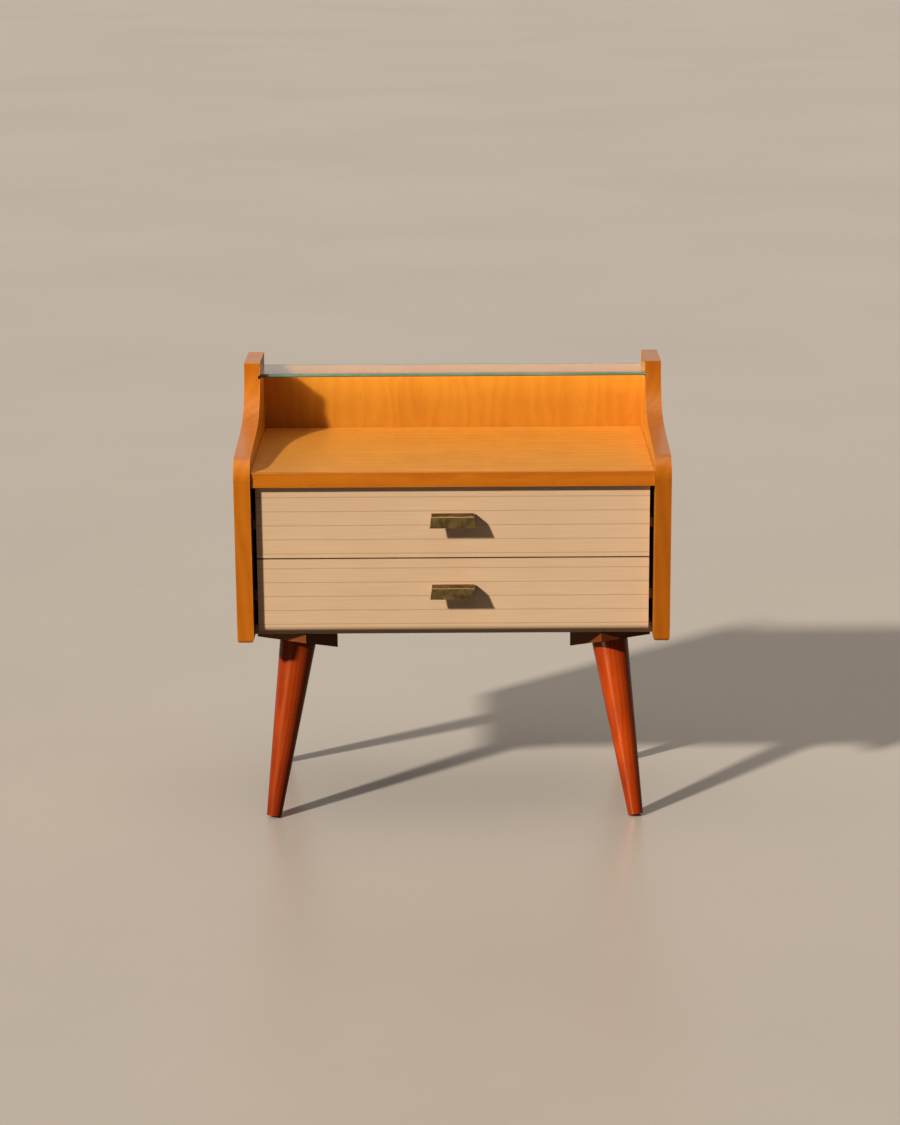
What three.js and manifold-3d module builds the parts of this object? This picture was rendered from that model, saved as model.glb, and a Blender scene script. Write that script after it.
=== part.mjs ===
// Nightstand with two drawers, a glass shelf and four splayed legs.
// Millimetres, +Z up, the front faces -Y. The pieces are laid out with the back of the
// carcass on y = 0 and the floor on z = 0, and the whole is centred at the end.
import * as THREE from "three";
import { mergeVertices } from "three/addons/utils/BufferGeometryUtils.js";
import Module from "manifold-3d";

const wasm = await Module();
wasm.setup();

const degrees = THREE.MathUtils.degToRad;

// ---- Driving dimensions ----------------------------------------------------------------

const GAP = 0.3; // glue line between two fixed pieces
const OVERSHOOT = 1; // a cut reaches this far past the face that it opens

// Facets
const ROUND_SEGMENTS = 24; // screws and their holes
const LEG_SEGMENTS = 48;
const BEND_SEGMENTS = 6; // each fillet of a bent or moulded section
const SWEEP_SEGMENTS = 20; // each curve of the side panel outline

// Carcass, from the floor up
const WIDTH = 500; // over the two side panels
const UNDERSIDE = 221; // floor to the underside of the bottom board
const SIDE_THICKNESS = 19;
const SIDE_DROP = 4; // the side panels reach this far below the bottom board
const BOTTOM_THICKNESS = 12;
const SHELF_THICKNESS = 17.5;
const LIPPING_DEPTH = 6; // solid wood strip on the front edge of the shelf board
const BACK_THICKNESS = 6;
const BACK_INSET = 3.7; // back panel to the rear edges of the side panels
const REBATE_DEPTH = 6; // rebate for the back panel, cut into the side panels
const COMPARTMENT_HEIGHT = 74; // shelf board to glass

// Front
const FRONT_DEPTH = 292; // rear edge to the top of the drawer fronts
const FRONT_LEAN = degrees(5); // the front leans back towards the floor
const SIDE_REVEAL = 12; // the side panels stand in front of the drawer fronts
const SHELF_OVERHANG = 9; // the shelf board stands in front of the drawer fronts
const SHELF_REVEAL = 1.3; // shelf board to the upper drawer front
const UPPER_FRONT_HEIGHT = 84.2;
const SEAM = 1.8; // between the two drawer fronts
const LOWER_FRONT_HEIGHT = 87.8;
const BOARD_REVEAL = 6.4; // lower drawer front to the underside of the bottom board
const FRONT_SIDE_GAP = 5.2; // drawer front to side panel
const STOP_CLEARANCE = 0.4; // closed drawer front to the runner ends
const STOP_LEAD = 0.9; // the runner ends stand this far in front of the bottom board

// Outline of the side panels
const UPPER_DEPTH = 88; // depth of the part that holds the glass
const SIDE_RISE = 15; // side panel above the glass
const WING_FRONT_RISE = 13.7; // wing above the shelf board at the front corner
const WING_REAR_RISE = 23; // wing above the shelf board where the sweep begins
const SWEEP_RUN = 101; // length of the sweep up to the upper part
const SWEEP_LOWER_PULL = 60;
const SWEEP_UPPER_PULL = 46;
const SWEEP_TOP_DROP = 7; // end of the sweep below the top edge
const WING_CORNER_RADIUS = 24;
const TOE_RADIUS = 4;
const HEEL_RADIUS = 3;

// Glass shelf
const GLASS_THICKNESS = 4;
const GLASS_SETBACK = 10; // behind the front edge of the side panels
const GLASS_REAR_STOP = 3; // glass to the rear edges of the side panels
const GLASS_GROOVE_DEPTH = 2.5; // groove for the glass, cut into the side panels
const GLASS_END_CLEARANCE = 0.5;
const GLASS_SLIDE_CLEARANCE = 0.3; // above and below the glass in its groove

// Drawer boxes
const FRONT_THICKNESS = 16;
const FACING_THICKNESS = 1.2;
const LOWER_EDGE_RADIUS = 8;
const BOX_SIDE_THICKNESS = 11;
const BOX_BACK_THICKNESS = 11;
const BOX_BOTTOM_THICKNESS = 4;
const BOX_SIDE_CLEARANCE = 9; // drawer box to side panel
const BOX_REAR_CLEARANCE = 12; // drawer box to back panel
const BOX_TOP_DROP = 16; // drawer side below the top of its front
const UPPER_BOX_RISE = 6; // drawer side above the bottom of its front
const BOARD_CLEARANCE = 3.5; // lower drawer box to the bottom board
const BOTTOM_PANEL_RISE = 6; // drawer bottom above the lower edge of the sides
const BOTTOM_GROOVE_DEPTH = 5;

// Runners
const RUNNER_HEIGHT = 12;
const RUNNER_ENGAGEMENT = 4.5; // how far a runner enters its groove
const RUNNER_PLAY = 0.5; // above and below the runner
const RUNNER_END_PLAY = 1; // runner to the bottom of its groove
const RUNNER_REAR_CLEARANCE = 2;

// Handles
const HANDLE_THICKNESS = 2;
const HANDLE_PLATE_DEPTH = 16;
const HANDLE_TOP_WIDTH = 49;
const HANDLE_LIP_WIDTH = 53;
const HANDLE_LIP_DROP = 12.5;
const HANDLE_LIP_FLARE = 5;
const HANDLE_FLANGE_HEIGHT = 12;
const HANDLE_BEND_RADIUS = 3;
const UPPER_HANDLE_DROP = 30.9; // plate below the top of the drawer front
const LOWER_HANDLE_DROP = 30.2;
const HANDLE_SCREW_SPACING = 28;
const HANDLE_SCREW_DROP = 7;

// Screws
const SCREW_RADIUS = 2;
const SCREW_HEAD_RADIUS = 4;
const SCREW_HEAD_HEIGHT = 2.4;
const SCREW_HEAD_RIM = 1; // height of the straight rim of the head
const SCREW_HEAD_TOP_RADIUS = 2.4;
const SCREW_SLOT_WIDTH = 1.2;
const SCREW_SLOT_DEPTH = 1;

// Legs and their blocks
const BLOCK_SIZE = 68;
const BLOCK_THIN_EDGE = 10.3;
const BLOCK_WALL_CLEARANCE = 0.4; // outer corner of a block to the inner face of the side
const FRONT_BLOCK_LEAD = 3; // corner of a front block in front of the bottom board
const REAR_BLOCK_SHARE = 0.3; // of the depth that the blocks leave free, behind the rear ones
const LEG_TILT = degrees(16);
const LEG_TURN = degrees(30.5); // splay direction, measured from straight ahead
const LEG_TOP_RADIUS = 21.2;
const LEG_FOOT_RADIUS = 8.75;
const LEG_FOOT_WEAR = 0.8; // worn flat on the lowest edge of the sole
const TENON_RADIUS = 9;
const TENON_LENGTH = 14;
const BLOCK_SCREW_SPREAD = 26; // each side of the leg
const BLOCK_SCREW_OFFSET = 8; // away from the splay direction
const BLOCK_SCREW_BITE = 8.5; // into the bottom board
const BLOCK_SCREW_FLOOR = 8; // wood left between the screw head and the bottom board

// ---- Worked out from the dimensions ------------------------------------------------------

const innerHalf = WIDTH / 2 - SIDE_THICKNESS;
const boardHalf = innerHalf - GAP;

const boardTop = UNDERSIDE + BOTTOM_THICKNESS;
const lowerFrontBottom = UNDERSIDE + BOARD_REVEAL;
const lowerFrontTop = lowerFrontBottom + LOWER_FRONT_HEIGHT;
const upperFrontBottom = lowerFrontTop + SEAM;
const upperFrontTop = upperFrontBottom + UPPER_FRONT_HEIGHT;
const shelfBottom = upperFrontTop + SHELF_REVEAL;
const shelfTop = shelfBottom + SHELF_THICKNESS;
const glassBottom = shelfTop + COMPARTMENT_HEIGHT;
const glassTop = glassBottom + GLASS_THICKNESS;
const sideTop = glassTop + SIDE_RISE;
const sideBottom = UNDERSIDE - SIDE_DROP;

const backRear = -BACK_INSET;
const backFront = backRear - BACK_THICKNESS;
const boardRear = backFront - GAP;

const grooveBottom = glassBottom - GLASS_SLIDE_CLEARANCE;
const grooveTop = glassTop + GLASS_SLIDE_CLEARANCE;

const lean = Math.tan(FRONT_LEAN);
// The plane of the drawer fronts, and planes behind it, as y at height z
const faceY = (z, behind = 0) => -FRONT_DEPTH + (upperFrontTop - z) * lean + behind;
const frontRearY = (z) => faceY(z, FRONT_THICKNESS);

const boardFront = frontRearY(lowerFrontBottom) + STOP_CLEARANCE + STOP_LEAD;

const boxHalf = innerHalf - BOX_SIDE_CLEARANCE;
const boxInnerHalf = boxHalf - BOX_SIDE_THICKNESS;
const boxRear = backFront - BOX_REAR_CLEARANCE;

// ---- Helpers -----------------------------------------------------------------------------

const ACROSS = new THREE.Matrix4().makeBasis(
  new THREE.Vector3(0, 1, 0),
  new THREE.Vector3(0, 0, 1),
  new THREE.Vector3(1, 0, 0),
);

const point = (y, z) => new THREE.Vector2(y, z);

// A shape in the y-z plane, extruded from x0 to x1
function across(shape, x0, x1, curveSegments = BEND_SEGMENTS) {
  const options = { depth: x1 - x0, bevelEnabled: false, curveSegments };
  return new THREE.ExtrudeGeometry(shape, options).applyMatrix4(ACROSS).translate(x0, 0, 0);
}

function box(x0, x1, y0, y1, z0, z1) {
  const geometry = new THREE.BoxGeometry(x1 - x0, y1 - y0, z1 - z0);
  return geometry.translate((x0 + x1) / 2, (y0 + y1) / 2, (z0 + z1) / 2);
}

// A turned piece: profile points are (radius, height) and the axis is +Z
function turned(profile, segments = ROUND_SEGMENTS) {
  return new THREE.LatheGeometry(profile, segments).rotateX(Math.PI / 2);
}

function rod(radius, z0, z1) {
  return turned([point(0, z0), point(radius, z0), point(radius, z1), point(0, z1)]);
}

// Carries an outline to a corner and round it: lines to the start of the fillet, then its arc
function roundTo(shape, corner, next, radius) {
  const from = shape.currentPoint.clone();
  const inward = from.clone().sub(corner).normalize();
  const outward = next.clone().sub(corner).normalize();
  const half = Math.acos(THREE.MathUtils.clamp(inward.dot(outward), -1, 1)) / 2;
  const reach = radius / Math.tan(half);
  const start = corner.clone().addScaledVector(inward, reach);
  const end = corner.clone().addScaledVector(outward, reach);
  const bisector = inward.clone().add(outward).normalize();
  const centre = corner.clone().addScaledVector(bisector, radius / Math.sin(half));
  const angle = (p) => Math.atan2(p.y - centre.y, p.x - centre.x);
  const clockwise = inward.cross(outward) > 0;
  shape.lineTo(start.x, start.y);
  shape.absarc(centre.x, centre.y, radius, angle(start), angle(end), clockwise);
}

// An outline of corners [y, z, radius], each with its own fillet, starting half way along a side
function outline(corners) {
  const points = corners.map(([y, z]) => point(y, z));
  const start = points[0].clone().add(points.at(-1)).multiplyScalar(0.5);
  const shape = new THREE.Shape().moveTo(start.x, start.y);
  corners.forEach(([y, z, radius = 0], i) => {
    const next = points[i + 1] ?? start;
    if (radius > 0) roundTo(shape, points[i], next, radius);
    else shape.lineTo(y, z);
  });
  shape.closePath();
  return shape;
}

function toSolid(geometry) {
  const bare = geometry.index ? geometry.toNonIndexed() : geometry.clone();
  bare.deleteAttribute("normal");
  bare.deleteAttribute("uv");
  const merged = mergeVertices(bare, 1e-4);
  const vertProperties = merged.attributes.position.array;
  const triVerts = new Uint32Array(merged.index.array);
  return new wasm.Manifold(new wasm.Mesh({ numProp: 3, vertProperties, triVerts }));
}

function fromSolid(solid) {
  const mesh = solid.getMesh();
  const geometry = new THREE.BufferGeometry();
  geometry.setAttribute("position", new THREE.BufferAttribute(mesh.vertProperties, 3));
  geometry.setIndex(new THREE.BufferAttribute(mesh.triVerts, 1));
  const flat = geometry.toNonIndexed();
  flat.computeVertexNormals();
  return flat;
}

function cut(base, tools) {
  return fromSolid(tools.reduce((solid, tool) => solid.subtract(toSolid(tool)), toSolid(base)));
}

// ---- Materials ---------------------------------------------------------------------------

const finishes = {
  honey: { color: 0xd98a2b, roughness: 0.4, metalness: 0 },
  plain: { color: 0xc9a878, roughness: 0.7, metalness: 0 },
  cream: { color: 0xdcc3a0, roughness: 0.45, metalness: 0 },
  redwood: { color: 0xa83a14, roughness: 0.35, metalness: 0 },
  dark: { color: 0x6b3413, roughness: 0.5, metalness: 0 },
  brass: { color: 0x8a7445, roughness: 0.45, metalness: 1 },
  steel: { color: 0x9a9a96, roughness: 0.4, metalness: 1 },
  glass: { color: 0xbfe0d2, roughness: 0.05, metalness: 0, transparent: true, opacity: 0.35 },
};

function piece(name, geometry, finish) {
  const mesh = new THREE.Mesh(geometry, new THREE.MeshStandardMaterial(finishes[finish]));
  mesh.name = name;
  return mesh;
}

// Names and signs of what comes once on each side
const SIDES = [
  ["left", -1],
  ["right", 1],
];

// Ascending range along x from two distances to the centre plane, on one side of it
const span = (sign, a, b) => (sign < 0 ? [-b, -a] : [a, b]);

// ---- Carcass -----------------------------------------------------------------------------

function sideOutline() {
  const frontY = (z) => faceY(z, -SIDE_REVEAL);
  const toe = point(frontY(sideBottom), sideBottom);
  const wingZ = shelfTop + WING_FRONT_RISE;
  const wingCorner = point(frontY(wingZ), wingZ);
  const sweepStart = point(-UPPER_DEPTH - SWEEP_RUN, shelfTop + WING_REAR_RISE);
  const sweepEnd = point(-UPPER_DEPTH, sideTop - SWEEP_TOP_DROP);
  const slope = (sweepStart.y - wingCorner.y) / (sweepStart.x - wingCorner.x);

  const shape = new THREE.Shape().moveTo(0, (sideBottom + sideTop) / 2);
  shape.lineTo(0, sideTop);
  shape.lineTo(-UPPER_DEPTH, sideTop);
  shape.lineTo(sweepEnd.x, sweepEnd.y);
  shape.bezierCurveTo(
    sweepEnd.x,
    sweepEnd.y - SWEEP_UPPER_PULL,
    sweepStart.x + SWEEP_LOWER_PULL,
    sweepStart.y + SWEEP_LOWER_PULL * slope,
    sweepStart.x,
    sweepStart.y,
  );
  roundTo(shape, wingCorner, toe, WING_CORNER_RADIUS);
  roundTo(shape, toe, point(0, sideBottom), TOE_RADIUS);
  roundTo(shape, point(0, sideBottom), point(0, sideTop), HEEL_RADIUS);
  shape.closePath();
  return shape;
}

function sidePanel(side, sign) {
  const panel = across(sideOutline(), ...span(sign, innerHalf, WIDTH / 2), SWEEP_SEGMENTS);
  const cutAcross = (depth) => span(sign, innerHalf - OVERSHOOT, innerHalf + depth);
  const rebate = box(
    ...cutAcross(REBATE_DEPTH),
    backFront - GAP,
    OVERSHOOT,
    sideBottom - OVERSHOOT,
    grooveBottom,
  );
  const groove = box(
    ...cutAcross(GLASS_GROOVE_DEPTH),
    -UPPER_DEPTH - SWEEP_RUN,
    -GLASS_REAR_STOP + GAP,
    grooveBottom,
    grooveTop,
  );
  return piece(`side_panel_${side}`, cut(panel, [rebate, groove]), "honey");
}

function bottomBoard(screwPoints) {
  const board = box(-boardHalf, boardHalf, boardFront, boardRear, UNDERSIDE, boardTop);
  const holeTop = UNDERSIDE + BLOCK_SCREW_BITE + GAP;
  const holes = screwPoints.map(({ x, y }) =>
    rod(SCREW_RADIUS + GAP, UNDERSIDE - OVERSHOOT, holeTop).translate(x, y, 0),
  );
  return piece("bottom_board", cut(board, holes), "plain");
}

function carcass(screwPoints) {
  const group = new THREE.Group();
  const lippingFront = -FRONT_DEPTH - SHELF_OVERHANG;
  const lippingRear = lippingFront + LIPPING_DEPTH;
  const shelfFront = lippingRear + GAP;
  const backHalf = innerHalf + REBATE_DEPTH - GAP;
  const shelf = box(-boardHalf, boardHalf, shelfFront, boardRear, shelfBottom, shelfTop);
  const lipping = box(-boardHalf, boardHalf, lippingFront, lippingRear, shelfBottom, shelfTop);
  const back = box(-backHalf, backHalf, backFront, backRear, UNDERSIDE, grooveBottom);
  group.add(
    ...SIDES.map(([side, sign]) => sidePanel(side, sign)),
    piece("shelf_board", shelf, "honey"),
    piece("shelf_lipping", lipping, "honey"),
    piece("back_panel", back, "honey"),
    bottomBoard(screwPoints),
  );
  return group;
}

function glassShelf() {
  const half = innerHalf + GLASS_GROOVE_DEPTH - GLASS_END_CLEARANCE;
  const front = -UPPER_DEPTH + GLASS_SETBACK;
  const pane = box(-half, half, front, -GLASS_REAR_STOP, glassBottom, glassTop);
  return piece("glass_shelf", pane, "glass");
}

// ---- Drawers -----------------------------------------------------------------------------

// The two drawers differ only in their heights, their lower edge and where the handle sits
const drawers = [
  {
    name: "upper",
    bottom: upperFrontBottom,
    top: upperFrontTop,
    boxBottom: upperFrontBottom + UPPER_BOX_RISE,
    edgeRadius: 0,
    handleDrop: UPPER_HANDLE_DROP,
  },
  {
    name: "lower",
    bottom: lowerFrontBottom,
    top: lowerFrontTop,
    boxBottom: boardTop + BOARD_CLEARANCE,
    edgeRadius: LOWER_EDGE_RADIUS,
    handleDrop: LOWER_HANDLE_DROP,
  },
];

for (const drawer of drawers) {
  drawer.boxTop = drawer.top - BOX_TOP_DROP;
  drawer.runnerZ = (drawer.boxBottom + drawer.boxTop) / 2;
  drawer.panelZ = drawer.boxBottom + BOTTOM_PANEL_RISE;
  drawer.handleZ = drawer.top - drawer.handleDrop;
}

function runner(drawer, side, sign) {
  const z0 = drawer.runnerZ - RUNNER_HEIGHT / 2;
  const z1 = drawer.runnerZ + RUNNER_HEIGHT / 2;
  const reach = innerHalf - boxHalf + RUNNER_ENGAGEMENT;
  const range = span(sign, innerHalf - reach, boardHalf);
  const front = frontRearY(z0) + STOP_CLEARANCE;
  const strip = box(...range, front, backFront - RUNNER_REAR_CLEARANCE, z0, z1);
  return piece(`runner_${drawer.name}_${side}`, strip, "plain");
}

// Skin of the drawer front: flat, or carried round the lower edge and under it
function facingOutline({ bottom, top, edgeRadius }) {
  if (edgeRadius === 0)
    return outline([
      [faceY(top), top],
      [faceY(bottom), bottom],
      [faceY(bottom, FACING_THICKNESS), bottom],
      [faceY(top, FACING_THICKNESS), top],
    ]);
  const inside = bottom + FACING_THICKNESS;
  return outline([
    [faceY(top), top],
    [faceY(bottom), bottom, edgeRadius],
    [frontRearY(bottom), bottom],
    [frontRearY(inside), inside],
    [faceY(inside, FACING_THICKNESS), inside, edgeRadius - FACING_THICKNESS],
    [faceY(top, FACING_THICKNESS), top],
  ]);
}

function coreOutline({ bottom, top, edgeRadius }) {
  const skin = FACING_THICKNESS + GAP;
  const low = edgeRadius > 0 ? bottom + skin : bottom;
  return outline([
    [faceY(top, skin), top],
    [faceY(low, skin), low, Math.max(edgeRadius - skin, 0)],
    [frontRearY(low), low],
    [frontRearY(top), top],
  ]);
}

// Frame on the drawer face at the top of the handle: -Y points squarely out of the face
function handleFrame(drawer) {
  const group = new THREE.Group();
  group.position.set(0, faceY(drawer.handleZ), drawer.handleZ);
  group.rotation.x = FRONT_LEAN;
  group.updateMatrix();
  return group;
}

const screwXs = [-HANDLE_SCREW_SPACING / 2, HANDLE_SCREW_SPACING / 2];
// Depth of the drawer front, measured square to its face
const squareDepth = FRONT_THICKNESS * Math.cos(FRONT_LEAN);

// Round-headed screw along +Z, its head resting on z = 0 and its slot on top
function screw(length) {
  const profile = [
    point(0, -length),
    point(SCREW_RADIUS, -length),
    point(SCREW_RADIUS, 0),
    point(SCREW_HEAD_RADIUS, 0),
    point(SCREW_HEAD_RADIUS, SCREW_HEAD_RIM),
    point(SCREW_HEAD_TOP_RADIUS, SCREW_HEAD_HEIGHT),
    point(0, SCREW_HEAD_HEIGHT),
  ];
  const slotHalf = SCREW_SLOT_WIDTH / 2;
  const reach = SCREW_HEAD_RADIUS + OVERSHOOT;
  const slotFloor = SCREW_HEAD_HEIGHT - SCREW_SLOT_DEPTH;
  const slotTop = SCREW_HEAD_HEIGHT + OVERSHOOT;
  const slot = box(-reach, reach, -slotHalf, slotHalf, slotFloor, slotTop);
  return cut(turned(profile), [slot]);
}

function handleHoles(drawer) {
  const frame = handleFrame(drawer);
  return screwXs.map((x) =>
    rod(SCREW_RADIUS + GAP, -squareDepth - OVERSHOOT, OVERSHOOT)
      .rotateX(Math.PI / 2)
      .translate(x, 0, -HANDLE_SCREW_DROP)
      .applyMatrix4(frame.matrix),
  );
}

function handlePlate() {
  const drop = Math.hypot(HANDLE_LIP_DROP, HANDLE_LIP_FLARE);
  const inward = [
    (HANDLE_THICKNESS * HANDLE_LIP_DROP) / drop,
    (-HANDLE_THICKNESS * HANDLE_LIP_FLARE) / drop,
  ];
  const lip = [-HANDLE_PLATE_DEPTH - HANDLE_LIP_FLARE, -HANDLE_LIP_DROP];
  const lipInside = [lip[0] + inward[0], lip[1] + inward[1]];
  const flangeFront = -GAP - HANDLE_THICKNESS;
  const rise = lipInside[1] + HANDLE_THICKNESS;
  const insideY = lipInside[0] - (rise * HANDLE_LIP_FLARE) / HANDLE_LIP_DROP;
  const innerRadius = HANDLE_BEND_RADIUS - HANDLE_THICKNESS;
  const shape = outline([
    [-GAP, -HANDLE_FLANGE_HEIGHT],
    [-GAP, 0, HANDLE_BEND_RADIUS],
    [-HANDLE_PLATE_DEPTH, 0, HANDLE_BEND_RADIUS],
    lip,
    lipInside,
    [insideY, -HANDLE_THICKNESS, innerRadius],
    [flangeFront, -HANDLE_THICKNESS, innerRadius],
    [flangeFront, -HANDLE_FLANGE_HEIGHT],
  ]);
  const plate = across(shape, -HANDLE_TOP_WIDTH / 2, HANDLE_TOP_WIDTH / 2);
  const positions = plate.attributes.position;
  const widening = (HANDLE_LIP_WIDTH / HANDLE_TOP_WIDTH - 1) / -lipInside[1];
  for (let i = 0; i < positions.count; i += 1) {
    const onLip = positions.getY(i) < flangeFront - innerRadius;
    const below = onLip ? Math.max(-positions.getZ(i), 0) : 0;
    positions.setX(i, positions.getX(i) * (1 + widening * below));
  }
  const holes = screwXs.map((x) =>
    rod(SCREW_RADIUS + GAP, 0, HANDLE_THICKNESS + OVERSHOOT)
      .rotateX(Math.PI / 2)
      .translate(x, 0, -HANDLE_SCREW_DROP),
  );
  return cut(plate, holes);
}

function handle(drawer) {
  const frame = handleFrame(drawer);
  frame.add(piece(`${drawer.name}_handle`, handlePlate(), "brass"));
  SIDES.forEach(([side], i) => {
    const fastener = piece(
      `${drawer.name}_handle_screw_${side}`,
      screw(squareDepth + HANDLE_THICKNESS + GAP),
      "steel",
    );
    fastener.rotation.x = -Math.PI / 2;
    fastener.position.set(screwXs[i], squareDepth + GAP, -HANDLE_SCREW_DROP);
    frame.add(fastener);
  });
  return frame;
}

function boxSide(drawer, side, sign) {
  const { boxBottom, boxTop, runnerZ, panelZ } = drawer;
  const shape = outline([
    [frontRearY(boxBottom) + GAP, boxBottom],
    [boxRear, boxBottom],
    [boxRear, boxTop],
    [frontRearY(boxTop) + GAP, boxTop],
  ]);
  const board = across(shape, ...span(sign, boxInnerHalf, boxHalf));
  const grooveDepth = RUNNER_ENGAGEMENT + RUNNER_END_PLAY;
  const grooveHalf = RUNNER_HEIGHT / 2 + RUNNER_PLAY;
  const farFront = -FRONT_DEPTH - OVERSHOOT;
  const runnerGroove = box(
    ...span(sign, boxHalf - grooveDepth, boxHalf + OVERSHOOT),
    farFront,
    boxRear + OVERSHOOT,
    runnerZ - grooveHalf,
    runnerZ + grooveHalf,
  );
  const panelGroove = box(
    ...span(sign, boxInnerHalf - OVERSHOOT, boxInnerHalf + BOTTOM_GROOVE_DEPTH),
    farFront,
    boxRear + OVERSHOOT,
    panelZ - GAP,
    panelZ + BOX_BOTTOM_THICKNESS + GAP,
  );
  const name = `${drawer.name}_drawer_side_${side}`;
  return piece(name, cut(board, [runnerGroove, panelGroove]), "plain");
}

function drawerUnit(drawer) {
  const group = new THREE.Group();
  const { name, boxTop, panelZ } = drawer;
  const half = innerHalf - FRONT_SIDE_GAP;
  const panelHalf = boxInnerHalf + BOTTOM_GROOVE_DEPTH - GAP;
  const panelTop = panelZ + BOX_BOTTOM_THICKNESS;
  const grooveFront = frontRearY(panelZ) - BOTTOM_GROOVE_DEPTH;
  const frontGroove = box(
    -panelHalf - GAP,
    panelHalf + GAP,
    grooveFront,
    frontRearY(panelZ) + OVERSHOOT,
    panelZ - GAP,
    panelTop + GAP,
  );
  const holes = handleHoles(drawer);
  const core = across(coreOutline(drawer), -half, half);
  const facing = across(facingOutline(drawer), -half, half);
  const backHalf = boxInnerHalf - GAP;
  const backFace = boxRear - BOX_BACK_THICKNESS;
  const back = box(-backHalf, backHalf, backFace, boxRear, panelTop + GAP, boxTop);
  const bottom = box(-panelHalf, panelHalf, grooveFront + GAP, boxRear, panelZ, panelTop);
  group.add(
    piece(`${name}_drawer_front`, cut(core, [frontGroove, ...holes]), "plain"),
    piece(`${name}_drawer_facing`, cut(facing, holes), "cream"),
    ...SIDES.map(([side, sign]) => boxSide(drawer, side, sign)),
    piece(`${name}_drawer_back`, back, "plain"),
    piece(`${name}_drawer_bottom`, bottom, "plain"),
    handle(drawer),
  );
  return group;
}

// ---- Legs --------------------------------------------------------------------------------

// A leg stands in a frame turned so that it splays towards -Y, with the block over it
const cornerReach = (BLOCK_SIZE / 2) * (Math.cos(LEG_TURN) + Math.sin(LEG_TURN));
const blockX = innerHalf - BLOCK_WALL_CLEARANCE - cornerReach;
const blockTop = UNDERSIDE - GAP;
const blockSlope = Math.tan(LEG_TILT);
const blockMiddle = blockTop - BLOCK_THIN_EDGE - (BLOCK_SIZE / 2) * blockSlope;
const blocksFront = boardFront - FRONT_BLOCK_LEAD;
const freeDepth = boardRear - blocksFront - 4 * cornerReach;
const frontBlockY = blocksFront + cornerReach;
const rearBlockY = boardRear - freeDepth * REAR_BLOCK_SHARE - cornerReach;

const corners = [
  { name: "front_left", x: -blockX, y: frontBlockY, turn: -LEG_TURN },
  { name: "front_right", x: blockX, y: frontBlockY, turn: LEG_TURN },
  { name: "rear_right", x: blockX, y: rearBlockY, turn: Math.PI - LEG_TURN },
  { name: "rear_left", x: -blockX, y: rearBlockY, turn: Math.PI + LEG_TURN },
];

const blockScrewXs = [-BLOCK_SCREW_SPREAD, BLOCK_SCREW_SPREAD];
const screwHeadZ = blockTop - BLOCK_SCREW_FLOOR;

function cornerFrame({ x, y, turn }) {
  const frame = new THREE.Group();
  frame.position.set(x, y, 0);
  frame.rotation.z = turn;
  frame.updateMatrix();
  return frame;
}

const cornerScrewPoints = (corner) =>
  blockScrewXs.map((x) =>
    new THREE.Vector3(x, BLOCK_SCREW_OFFSET, 0).applyMatrix4(cornerFrame(corner).matrix),
  );

// Puts a piece turned about +Z on the sloping underside of its block
const onSlope = (geometry) => geometry.rotateX(-LEG_TILT).translate(0, 0, blockMiddle);

function legBlock(name) {
  const half = BLOCK_SIZE / 2;
  const shape = outline([
    [-half, blockTop - BLOCK_THIN_EDGE],
    [half, blockMiddle - half * blockSlope],
    [half, blockTop],
    [-half, blockTop],
  ]);
  const mortise = onSlope(rod(TENON_RADIUS + GAP, -TENON_LENGTH, TENON_LENGTH + GAP));
  const screwHoles = blockScrewXs.flatMap((x) => [
    rod(SCREW_RADIUS + GAP, 0, blockTop + OVERSHOOT).translate(x, BLOCK_SCREW_OFFSET, 0),
    rod(SCREW_HEAD_RADIUS + GAP, 0, screwHeadZ).translate(x, BLOCK_SCREW_OFFSET, 0),
  ]);
  const block = across(shape, -half, half);
  return piece(`leg_block_${name}`, cut(block, [mortise, ...screwHoles]), "dark");
}

function leg(name) {
  const drop = blockMiddle + LEG_FOOT_WEAR - LEG_FOOT_RADIUS * Math.sin(LEG_TILT);
  const length = drop / Math.cos(LEG_TILT);
  const profile = [
    point(0, -length),
    point(LEG_FOOT_RADIUS, -length),
    point(LEG_TOP_RADIUS, -GAP),
    point(TENON_RADIUS, -GAP),
    point(TENON_RADIUS, TENON_LENGTH - GAP),
    point(0, TENON_LENGTH - GAP),
  ];
  const floor = box(-length, length, -length, length, -length, 0);
  return piece(`leg_${name}`, cut(onSlope(turned(profile, LEG_SEGMENTS)), [floor]), "redwood");
}

function legCorner(corner) {
  const frame = cornerFrame(corner);
  frame.add(legBlock(corner.name), leg(corner.name));
  SIDES.forEach(([side], i) => {
    const length = BLOCK_SCREW_FLOOR + GAP + BLOCK_SCREW_BITE;
    const fastener = piece(`block_screw_${corner.name}_${side}`, screw(length), "steel");
    fastener.rotation.x = Math.PI;
    fastener.position.set(blockScrewXs[i], BLOCK_SCREW_OFFSET, screwHeadZ);
    frame.add(fastener);
  });
  return frame;
}

// ---- Assembly ----------------------------------------------------------------------------

const assembly = new THREE.Group();
assembly.add(
  carcass(corners.flatMap(cornerScrewPoints)),
  glassShelf(),
  ...drawers.flatMap((drawer) => SIDES.map(([side, sign]) => runner(drawer, side, sign))),
  ...drawers.map(drawerUnit),
  ...corners.map(legCorner),
);

// The origin is on the floor, below the middle of the whole
assembly.updateMatrixWorld(true);
const extent = new THREE.Box3().setFromObject(assembly, true);
const middle = extent.getCenter(new THREE.Vector3());
assembly.position.set(-middle.x, -middle.y, -extent.min.z);

const nightstand = new THREE.Group();
nightstand.add(assembly);

export default nightstand;
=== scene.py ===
"""Nightstand with two drawers, a glass shelf and four splayed legs.

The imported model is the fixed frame. Each operator makes one group of pieces from the frame's own
boxes and outlines, gives it its finish and tells which body it rides on.
"""

import math

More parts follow.
